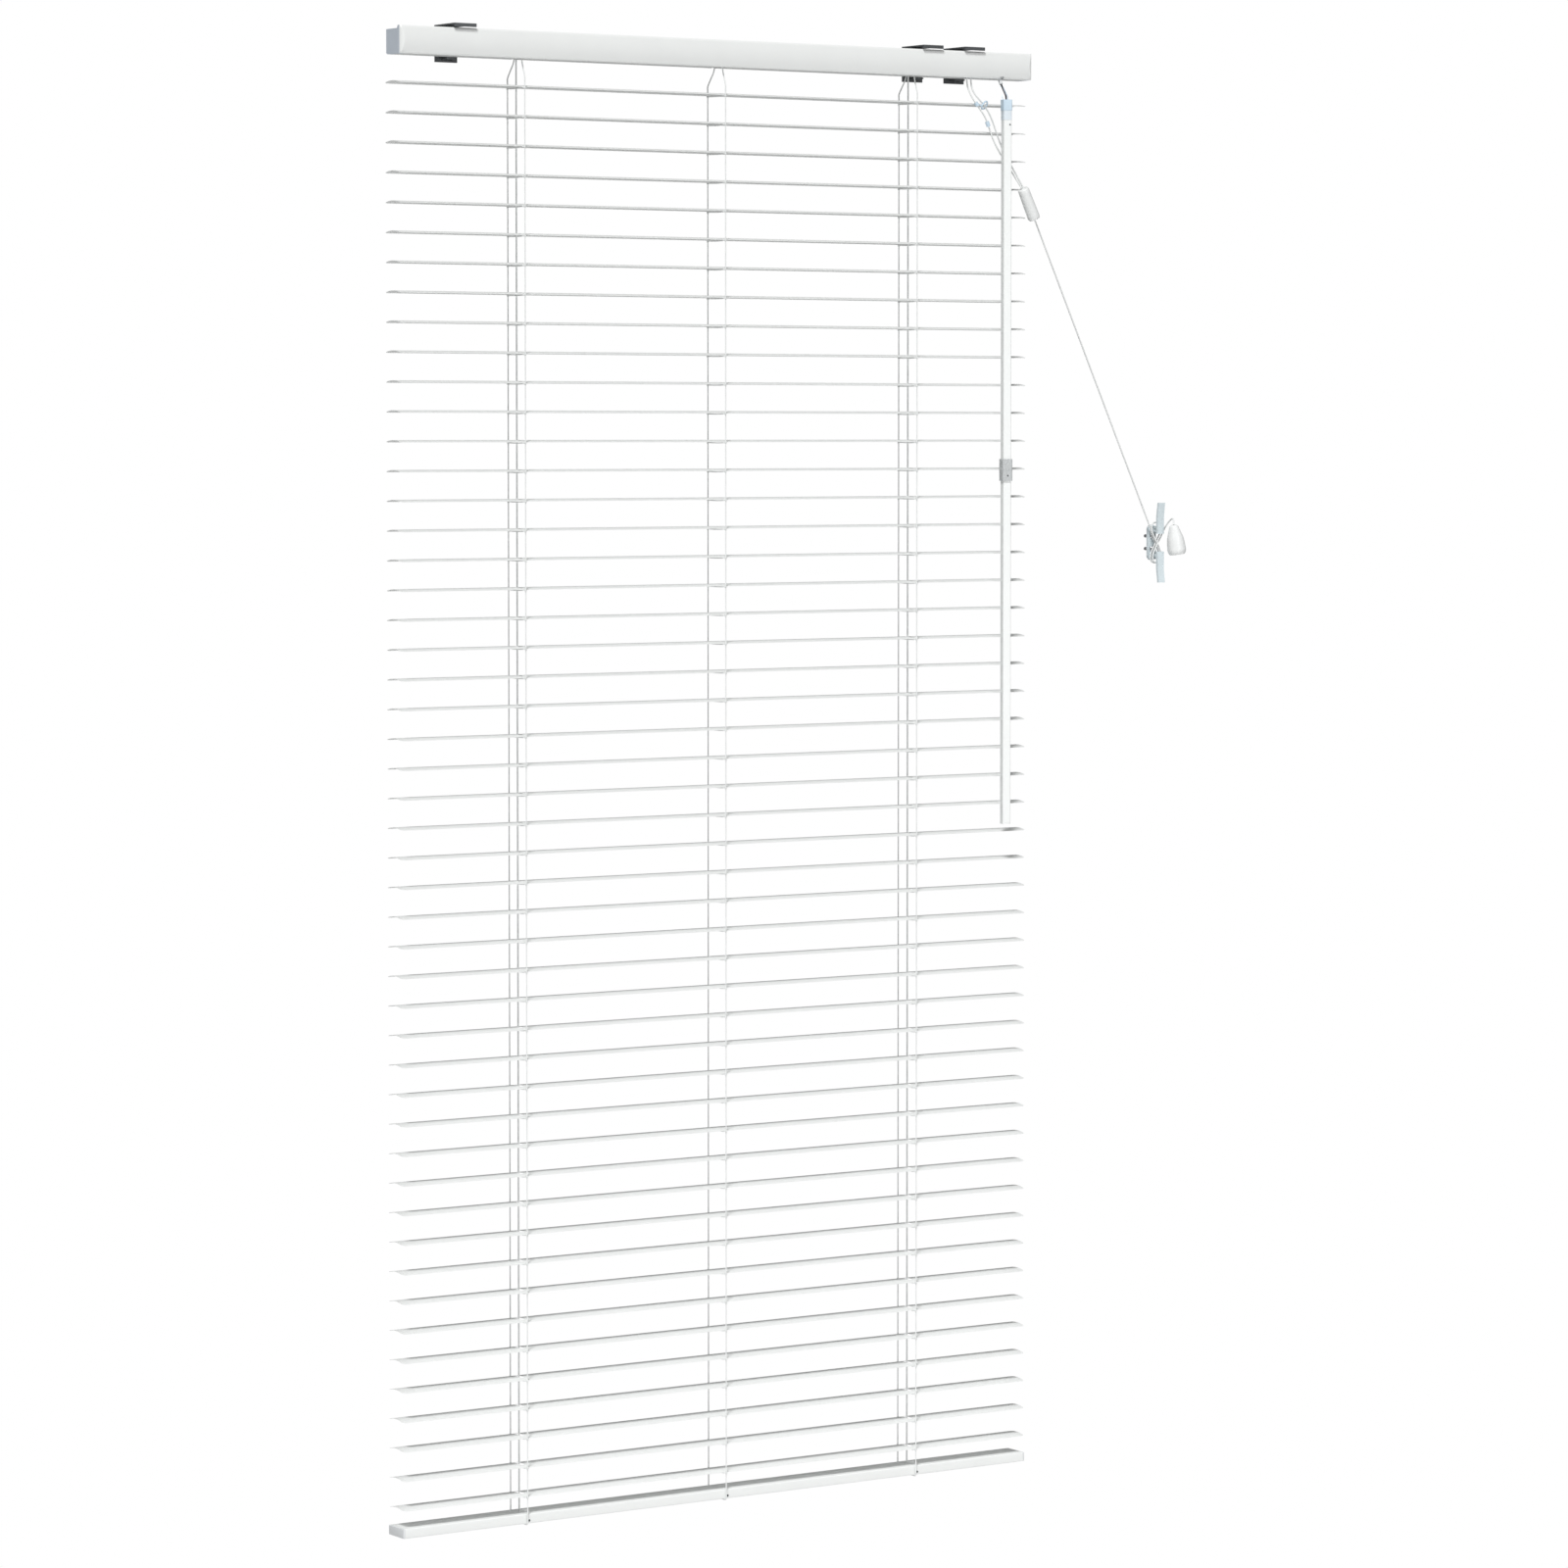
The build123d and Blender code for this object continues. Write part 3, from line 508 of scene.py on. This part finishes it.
# end caps: a plate with the headrail's outline, rounded at its vertical front edge, and a plug in the channel
def arc_through(p, q, r, steps):
    ax, ay, bx, by, cx_, cy_ = *p, *q, *r
    d = 2 * (ax * (by - cy_) + bx * (cy_ - ay) + cx_ * (ay - by))
    ux = ((ax * ax + ay * ay) * (by - cy_) + (bx * bx + by * by) * (cy_ - ay) + (cx_ * cx_ + cy_ * cy_) * (ay - by)) / d
    uy = ((ax * ax + ay * ay) * (cx_ - bx) + (bx * bx + by * by) * (ax - cx_) + (cx_ * cx_ + cy_ * cy_) * (bx - ax)) / d
    rad = math.hypot(ax - ux, ay - uy)
    t0 = math.atan2(ay - uy, ax - ux) % (2 * math.pi)
    t1 = math.atan2(cy_ - uy, cx_ - ux) % (2 * math.pi)
    return [(ux + rad * math.cos(t0 + (t1 - t0) * k / steps), uy + rad * math.sin(t0 + (t1 - t0) * k / steps)) for k in range(steps + 1)]


cap_outline = [(-29.9, -13.0), (-9.7, -13.0), (-8.5, -11.8), (-8.5, 7.6), (-26.4, 7.6), (-27.4, 10.0), (-30.0, 10.0)] + arc_through((-31.4, 8.6), (-32.5, -2.0), (-31.2, -11.8), 14)
for name, x0, side in (("end_cap_left", -314.0, -1), ("end_cap_right", 316.5, 1)):
    bm = bmesh.new()
    rings = []
    for k in range(13):
        s_in = 4.5 * math.sin(math.pi / 2 * k / 12)
        limit = -32.5 + 4.5 - math.sqrt(max(0.0, 4.5 ** 2 - s_in ** 2))
        xs = x0 + side * (0.5 + s_in)
        if k == 0:
            rings.append([bm.verts.new(Vector((x0, y, z)) * MM) for y, z in cap_outline])
        rings.append([bm.verts.new(Vector((xs, max(y, limit), z)) * MM) for y, z in cap_outline])
    n = len(cap_outline)
    for p, q in zip(rings, rings[1:]):
        for k in range(n):
            bm.faces.new((p[k], p[(k + 1) % n], q[(k + 1) % n], q[k]))
    bm.faces.new(list(reversed(rings[0])))
    bm.faces.new(rings[-1])
    add_prism(bm, rounded(10.3, 8.8, 1.0, 4), lambda a, b, h: Vector((h, -20.3 + a, -3.0 + b)), x0 - side * 8.0, x0 - side * 0.02)
    cap = mesh_object(name, bm, 38)
    place(cap, M_CAP, "headrail", ("headrail_fittings",))
    cap.data.materials.append(M_RAIL)
    for f in cap.data.polygons:
        if f.center.y < -0.0287 and abs(f.normal.x) < 0.9:
            f.material_index = 1
rod = split("tilt_rod", "tilt_rod", {
    "rod": ((39.5, -18.5, -2), M_ROD, "rod_steel"),
    "tilter_gear": ((288.5, -18.5, -2), M_FIT, "fitting_plastic"),
    "drum_right": ((199, -18.5, -2), M_FIT, "fitting_plastic"),
    "drum_middle": ((0, -18.5, -2.0), M_FIT, "fitting_plastic"),
    "drum_left": ((-199, -18.5, -2), M_FIT, "fitting_plastic"),
})
wand = split("tilt_wand", "tilt_wand", {
    "wand_cap": ((288.5, -38, -42.3), M_CLEAR, "clear_plastic"),
    "wand_tube_lower": ((288.5, -38, -512), M_WAND, "wand_plastic"),
    "wand_tube_upper": ((288.5, -38, -198.5), M_WAND, "wand_plastic"),
    "wand_sleeve": ((288.5, -38, -356.4), M_SLEEVE, "clear_plastic"),
    "wand_end_plug": ((288.5, -38, -665.5), M_PULL, "pull_plastic"),
})
cleat = split("cord_cleat", "headrail", {
    "cleat_body": ((477.4, -8.8, -422.8), M_CLEAR_PALE, "clear_plastic"),
    "cleat_screw_low": ((477.4, 2.3, -428.5), M_ROD, "rod_steel"),
    "cleat_screw_high": ((477.4, 2.3, -417.1), M_ROD, "rod_steel"),
})

# small parts on the wand
wx = Vector((math.cos(WAND_TURN), math.sin(WAND_TURN), 0))
wy = Vector((-math.sin(WAND_TURN), math.cos(WAND_TURN), 0))


def on_wand(a, b, z):
    return Vector((WAND_X, WAND_Y, 0)) + wx * a + wy * b + Vector((0, 0, z))


bm = bmesh.new()
for a, z, r in ((2.0, -53.5, 0.75), (0.0, -361.3, 0.7)):
    front = -3.7 if z > -100 else -4.7
    add_lathe(bm, [(0.0, 0), (0.0, r), (0.35, r), (0.62, r * 0.8), (0.75, r * 0.45), (0.78, 0)], on_wand(a, front + 0.3, z), -wy, 20)
pins = place(mesh_object("wand_pins", bm, 40), M_DARK, "tilt_wand")
bm = bmesh.new()
ring_out, ring_in = rounded(4.82, 4.82, 1.3), rounded(4.5, 4.5, 1.1)
for (za, zb) in ((-356.75, -356.15),):
    ro = [[bm.verts.new(on_wand(a, b, z) * MM) for a, b in ring_out] for z in (za, zb)]
    ri = [[bm.verts.new(on_wand(a, b, z) * MM) for a, b in ring_in] for z in (za, zb)]
    n = len(ring_out)
    for k in range(n):
        j = (k + 1) % n
        bm.faces.new((ro[0][k], ro[0][j], ro[1][j], ro[1][k]))
        bm.faces.new((ri[0][j], ri[0][k], ri[1][k], ri[1][j]))
        bm.faces.new((ro[1][k], ro[1][j], ri[1][j], ri[1][k]))
        bm.faces.new((ro[0][j], ro[0][k], ri[0][k], ri[0][j]))
place(mesh_object("wand_sleeve_line", bm, 40), M_SLEEVE, "tilt_wand")

# the cap's thin skirt over the top of the upper tube
bm = bmesh.new()
ring_out, ring_in = rounded(3.84, 3.84, 0.9), rounded(3.71, 3.71, 0.8)
ro = [[bm.verts.new(on_wand(a, b, z) * MM) for a, b in ring_out] for z in (-49.4, -41.02)]
ri = [[bm.verts.new(on_wand(a, b, z) * MM) for a, b in ring_in] for z in (-49.4, -41.02)]
n = len(ring_out)
for k in range(n):
    j = (k + 1) % n
    bm.faces.new((ro[0][k], ro[0][j], ro[1][j], ro[1][k]))
    bm.faces.new((ri[0][j], ri[0][k], ri[1][k], ri[1][j]))
    bm.faces.new((ro[1][k], ro[1][j], ri[1][j], ri[1][k]))
    bm.faces.new((ro[0][j], ro[0][k], ri[0][k], ri[0][j]))
place(mesh_object("wand_cap_skirt", bm, 40), M_SKIRT, "tilt_wand")

# thin clear safety loop beside the hook
bm = bmesh.new()
add_tube(bm, smooth_path([(291.2, -36.6, -33.0), (291.6, -35.4, -28.5), (290.9, -32.6, -23.6), (289.9, -30.6, -19.8), (287.6, -30.4, -19.5), (286.4, -32.4, -23.4), (285.8, -35.2, -28.3), (285.9, -36.6, -32.6)], 7), 0.32, 8)
place(mesh_object("hook_loop", bm), M_CLEAR, "headrail")

# ---------------------------------------------------------------- bottom rail: rolled box section, end caps, ladder plugs
def in_rail(a, b, h):
    return Vector((h, LINE_Y + a, RAIL_TOP - 4.1 + b))


bm = bmesh.new()
outline = []
for a, b in rounded(12.5, 4.1, 0.9, 5):
    outline.append((a, b))
add_prism(bm, outline, in_rail, -316.4, 316.4)
rail = place(mesh_object("bottom_rail_section", bm, 30), M_RAIL, "bottom_rail", ("bottom_rail",))
for name, sign in (("bottom_rail_cap_left", -1), ("bottom_rail_cap_right", 1)):
    bm = bmesh.new()
    add_prism(bm, rounded(12.46, 4.06, 0.9, 5), in_rail, sign * 315.0, sign * 318.0)
    o = mesh_object(name, bm, 30)
    apply_modifier(o, "BEVEL", width=0.5 * MM, segments=3, limit_method="ANGLE", angle_limit=math.radians(50))
    o.data.shade_smooth()
    o.data.set_sharp_from_angle(angle=math.radians(40))
    place(o, M_FIT, "bottom_rail")
for name, x in zip(("ladder_plug_left", "ladder_plug_middle", "ladder_plug_right"), LADDER_X):
    bm = bmesh.new()
    add_prism(bm, rounded(5.0, 7.5, 1.6, 5), lambda a, b, h, x=x: Vector((x + a, LINE_Y + b, h)), -1241.2, -1238.0)
    o = mesh_object(name, bm, 30)
    apply_modifier(o, "BEVEL", width=0.35 * MM, segments=2, limit_method="ANGLE", angle_limit=math.radians(50))
    o.data.shade_smooth()
    o.data.set_sharp_from_angle(angle=math.radians(40))
    place(o, M_FIT, "bottom_rail")

# ---------------------------------------------------------------- ladders
random.seed(7)
made_first = True
for x, tag in zip(LADDER_X, ("left", "middle", "right")):
    for side, sname, y_top in ((-1, "front", -24.75), (1, "back", -12.05)):
        y_low = LINE_Y + side * LADDER_HALF
        # the long upright, drawn in towards the slats' crown lines as they turn
        bm = bmesh.new()
        slope = (y_low - y_top) / (-28.0 + 14.6)
        pts = [(x, y_low + slope * 4.0, -24.0), (x, y_low + slope * 1.6, -26.4), (x, y_low, -28.6)]
        z = -34.5
        while z > RAIL_TOP + 1:
            pts.append((x, y_low, z))
            z -= PITCH
        pts.append((x, y_low, RAIL_TOP - 1.0))
        add_tube(bm, pts, 0.5, 8)
        up = place(mesh_object("ladder_%s_%s" % (tag, sname), bm), M_LADDER, "headrail", ("ladder_and_lift_cords",))
        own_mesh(up)
        # from the drum to the first slat
        bm = bmesh.new()
        lead = smooth_path([(x, y_top, -2.0), (x, y_top, -8.0), (x, y_top, -13.2), (x, y_top + (y_low - y_top) * 0.18, -17.4), (x, y_top + (y_low - y_top) * 0.62, -23.0), (x, y_low, -28.4), (x, y_low, -32.6), (x, y_low, -37.1)], 4)
        add_tube(bm, lead, 0.57, 8)
        o = mesh_object("ladder_%s_%s_lead" % (tag, sname), bm)
        o.data.materials.append(M_LADDER)
        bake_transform(o)
        # over the edge of the bottom rail and into its plug
        bm = bmesh.new()
        foot = smooth_path([(x, y_low, -1228.6), (x, y_low, -1233.0), (x, y_low, -1238.6), (x, y_low - side * 0.9, -1240.6), (x, y_low - side * 3.0, -1240.95), (x, y_low - side * 6.5, -1240.9), (x, y_low - side * 8.0, -1240.2)], 4)
        add_tube(bm, foot, 0.57, 8)
        place(mesh_object("ladder_%s_%s_foot" % (tag, sname), bm), M_LADDER, "bottom_rail")

# rungs and the small whippings where they leave the uprights, one piece for each slat
for i in range(SLATS):
    zc = FIRST_Z - PITCH * i
    zr = zc - 2.42
    bm = bmesh.new()
    for x in LADDER_X:
        for k, dx in enumerate((-1.6, 1.6)):
            y0, y1 = LINE_Y - LADDER_HALF, LINE_Y + LADDER_HALF
            sag = 0.25 + 0.2 * random.random()
            run = smooth_path([(x, y0, zr + 0.1), (x + dx * 0.85, y0 + 1.2, zr), (x + dx, y0 + 3.2, zr - sag * 0.3), (x + dx, LINE_Y, zr - sag), (x + dx, y1 - 3.2, zr - sag * 0.3), (x + dx * 0.85, y1 - 1.2, zr), (x, y1, zr + 0.1)], 3)
            add_tube(bm, run, 0.33, 6)
        for y in (LINE_Y - LADDER_HALF, LINE_Y + LADDER_HALF):
            wrap = []
            turns, steps = 2.5, 9
            start = random.random() * 6.28
            for s in range(int(turns * steps) + 1):
                t = start + 2 * math.pi * s / steps
                wrap.append((x + 0.72 * math.cos(t), y + 0.72 * math.sin(t), zr + 0.75 - 1.5 * s / (turns * steps)))
            add_tube(bm, wrap, 0.31, 5)
    place(mesh_object("rungs_%02d" % (i + 1), bm), M_LADDER, "slat_%02d" % (i + 1))

# ladder clip's dark eyelet on the front of the bottom rail
bm = bmesh.new()
for x in LADDER_X:
    add_lathe(bm, [(0.0, 0), (0.0, 0.95), (0.3, 0.95), (0.42, 0.75), (0.44, 0)], (x + 2.4, -28.0 + 0.12, -1237.6), (0, -1, 0), 18)
place(mesh_object("ladder_eyelets", bm, 40), M_DARK, "bottom_rail")

# ---------------------------------------------------------------- lift cords, through the slats and along the rail
for x, y_in, tag in ((-199.0, -13.7, "left"), (199.0, -17.1, "right")):
    bm = bmesh.new()
    line = [(x, LINE_Y, RAIL_TOP - 1.0)]
    z = FIRST_Z - PITCH * (SLATS - 1)
    while z < -30:
        line.append((x, LINE_Y, z))
        z += PITCH
    line += smooth_path([(x, LINE_Y, -22.0), (x, LINE_Y, -12.6), (x + 0.7, LINE_Y, -10.4), (x + 2.6, LINE_Y + (y_in - LINE_Y) * 0.12, -9.35), (x + 11.0, LINE_Y + (y_in - LINE_Y) * 0.5, -9.3), (x + 20.0, LINE_Y + (y_in - LINE_Y) * 0.95, -9.3), (x + 26.0, y_in, -9.3), (241.0, y_in, -9.3)], 4)
    add_tube(bm, line, 0.7, 10)
    place(mesh_object("lift_cord_" + tag, bm), M_CORD, "headrail")

# ---------------------------------------------------------------- floor, light
bm = bmesh.new()
grid = [[bm.verts.new((-3.0 + 5.4 * i / 8, -4.6 + 6.0 * j / 8, -1.9)) for j in range(9)] for i in range(9)]
for i in range(8):
    for j in range(8):
        bm.faces.new((grid[i][j], grid[i + 1][j], grid[i + 1][j + 1], grid[i][j + 1]))
me = bpy.data.meshes.new("floor")
bm.to_mesh(me)
bm.free()
floor = bpy.data.objects.new("floor", me)
bpy.context.scene.collection.objects.link(floor)
fm = new_material("floor_paint", (0.93, 0.93, 0.93), 0.003, 0.9, 0.05, grain=60, bump=0.02, bump_mm=0.05, specular=0.1)
floor.data.materials.append(fm)

world = bpy.data.worlds.new("world")
bpy.context.scene.world = world
world.use_nodes = True
wt = world.node_tree
bg = wt.nodes["Background"]
bg.inputs["Color"].default_value = (1.0, 1.0, 1.0, 1)
path = wt.nodes.new("ShaderNodeLightPath")
level = wt.nodes.new("ShaderNodeMapRange")          # white behind the object, a softer level as its light
level.inputs["To Min"].default_value = 0.22
level.inputs["To Max"].default_value = 1.0
wt.links.new(path.outputs["Is Camera Ray"], level.inputs["Value"])
wt.links.new(level.outputs["Result"], bg.inputs["Strength"])


def area(name, location, target, size, power, color=(1, 1, 1)):
    la = bpy.data.lights.new(name, "AREA")
    la.shape = "SQUARE"
    la.size = size
    la.energy = power
    la.color = color
    o = bpy.data.objects.new(name, la)
    bpy.context.scene.collection.objects.link(o)
    o.location = location
    o.rotation_mode = "QUATERNION"
    o.rotation_quaternion = (Vector(target) - Vector(location)).to_track_quat("-Z", "Y")
    return o


sun_data = bpy.data.lights.new("key", "SUN")        # from above, the front and the left
sun_data.energy = 2.55
sun_data.angle = math.radians(12)
sun = bpy.data.objects.new("key", sun_data)
bpy.context.scene.collection.objects.link(sun)
sun.location = (-1.3, -1.2, 2.4)
sun.rotation_mode = "QUATERNION"
sun.rotation_quaternion = Vector((0.50, 0.46, -1.0)).to_track_quat("-Z", "Y")
area("front", (0.4, -4.6, 0.1), (0.1, 0.0, -0.55), 2.6, 48.0)

bpy.context.scene.view_settings.view_transform = "Standard"
